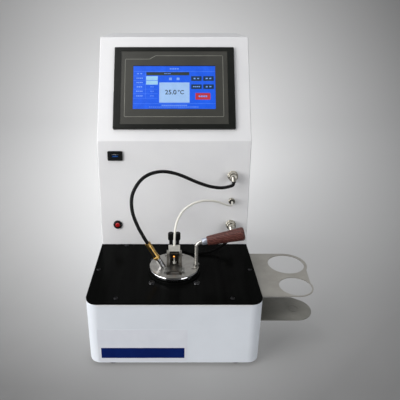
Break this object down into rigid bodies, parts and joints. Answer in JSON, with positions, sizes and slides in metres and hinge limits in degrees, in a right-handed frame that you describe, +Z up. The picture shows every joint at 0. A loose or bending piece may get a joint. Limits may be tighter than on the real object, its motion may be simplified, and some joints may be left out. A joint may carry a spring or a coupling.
{
  "type": "flash point tester",
  "caption": "Bench-top closed-cup flash point tester: base with heated cup and lifting lid, tower with touch panel, side shelf for cups.",
  "frame": {"origin": "middle of the footprint on the bench, side shelf included", "axes": "+Z up, +X to the shelf's side, +Y towards the back of the instrument"},
  "size_m": [0.3896, 0.5084, 0.5055],
  "materials": {
    "white_paint": "smooth powder coat",
    "black_deck": "high gloss",
    "black_plastic": "satin",
    "bezel_plastic": "satin",
    "overlay_grey": "smooth",
    "screen_blue": "lit display",
    "brushed_steel": "fine brushed",
    "polished_steel": "polished",
    "brass": "brushed",
    "bath_aluminium": "turned",
    "insulation": "felted",
    "grip_wood": "oiled burr",
    "red_lens": "translucent look",
    "tube_white": "soft",
    "glow_wire": "hot wire",
    "board_green": "circuit board",
    "rubber": "matt"
  },
  "bodies": {
    "housing": {"base_shell": "white_paint", "bottom_plate": "brushed_steel", "feet": "rubber", "top_plate": "black_deck", "plate_screws": "black_plastic", "seat_ring": "black_plastic", "bath_block": "bath_aluminium", "band_heater": "brushed_steel", "bath_insulation": "insulation", "probe_cable": "rubber", "gas_tube": "tube_white", "igniter_lead": "rubber", "tower_cover": "white_paint", "tower_side_panels": "white_paint", "rear_panel": "white_paint", "case_screws": "polished_steel", "panel_bezel": "bezel_plastic", "panel_overlay": "overlay_grey", "touch_screen": "screen_blue", "panel_housing": "brushed_steel", "data_port": "black_plastic", "lamp_bezel": "polished_steel", "lamp_lens": "red_lens", "sensor_socket": "polished_steel", "sensor_plug": "rubber", "igniter_socket": "polished_steel", "igniter_plug": "rubber", "gas_fitting": "polished_steel", "side_shelf": "brushed_steel", "power_inlet": "black_plastic", "switch_frame": "black_plastic", "fan_frame": "black_plastic", "power_supply": "brushed_steel", "control_board": "board_green"},
    "lid": {"lid_plate": "brushed_steel", "lid_rim": "polished_steel", "shutter_rails": "brushed_steel", "lid_fasteners": "polished_steel", "igniter_frame": "brushed_steel", "igniter_pin": "polished_steel", "lead_gland": "black_plastic", "terminal_block": "black_plastic", "terminal_studs": "brass", "probe_socket": "brushed_steel", "probe_sleeve": "brass", "probe_stem": "polished_steel", "handle_rod": "polished_steel", "handle_grip": "grip_wood"},
    "cup": {"test_cup": "brass"},
    "shutter": {"shutter_slide": "brushed_steel"},
    "igniter_head": {"igniter_arm": "black_plastic", "igniter_coil": "glow_wire", "gas_nozzle": "polished_steel"},
    "left_knob": {"terminal_knob_left": "black_plastic"},
    "right_knob": {"terminal_knob_right": "black_plastic"},
    "sensor_nut": {"sensor_coupling_nut": "black_plastic"},
    "igniter_nut": {"igniter_coupling_nut": "black_plastic"},
    "collet": {"gas_collet": "black_plastic"},
    "fan": {"fan_rotor": "black_plastic"},
    "rocker": {"power_rocker": "black_plastic"}
  },
  "joints": [
    {"name": "lid_lift", "type": "slide", "parent": "housing", "child": "lid", "axis": [0, 0, 1], "range_m": [0, 0.06], "deforming": ["probe_cable", "gas_tube", "igniter_lead"]},
    {"name": "cup_lift", "type": "slide", "parent": "housing", "child": "cup", "axis": [0, 0, 1], "range_m": [0, 0.03]},
    {"name": "shutter_slide", "type": "slide", "parent": "lid", "child": "shutter", "axis": [0, -1, 0], "range_m": [0, 0.018], "stiffness_N_per_m": 50, "springref_m": -0.01},
    {"name": "igniter_dip", "type": "hinge", "parent": "lid", "child": "igniter_head", "pos_m": [-0.0523, -0.14525, 0.1505], "axis": [1, 0, 0], "range_deg": [0, 18]},
    {"name": "left_knob_turn", "type": "hinge", "parent": "lid", "child": "left_knob", "pos_m": [-0.058, -0.14505, 0.1715], "axis": [0, 0, 1], "continuous": true},
    {"name": "right_knob_turn", "type": "hinge", "parent": "lid", "child": "right_knob", "pos_m": [-0.0466, -0.14505, 0.1715], "axis": [0, 0, 1], "continuous": true},
    {"name": "sensor_nut_turn", "type": "hinge", "parent": "housing", "child": "sensor_nut", "pos_m": [0.0575, -0.04668, 0.26562], "axis": [0, -0.9966, 0.0828], "continuous": true},
    {"name": "igniter_nut_turn", "type": "hinge", "parent": "housing", "child": "igniter_nut", "pos_m": [0.0575, -0.05481, 0.16786], "axis": [0, -0.9966, 0.0828], "continuous": true},
    {"name": "collet_press", "type": "slide", "parent": "housing", "child": "collet", "axis": [0, 0.9966, -0.0828], "range_m": [0, 0.001], "stiffness_N_per_m": 200, "springref_m": -0.002},
    {"name": "fan_spin", "type": "hinge", "parent": "housing", "child": "fan", "pos_m": [-0.1143, 0.23575, 0.072], "axis": [0, 1, 0], "continuous": true},
    {"name": "power_rocker", "type": "hinge", "parent": "housing", "child": "rocker", "pos_m": [0.0437, 0.24975, 0.1], "axis": [1, 0, 0], "range_deg": [0, 12]}
  ],
  "couplings": [
    {"joint": "cup_lift", "follows": "lid_lift", "ratio": 0.5},
    {"joint": "igniter_dip", "follows": "shutter_slide", "rad_per_m": 17.453}
  ]
}
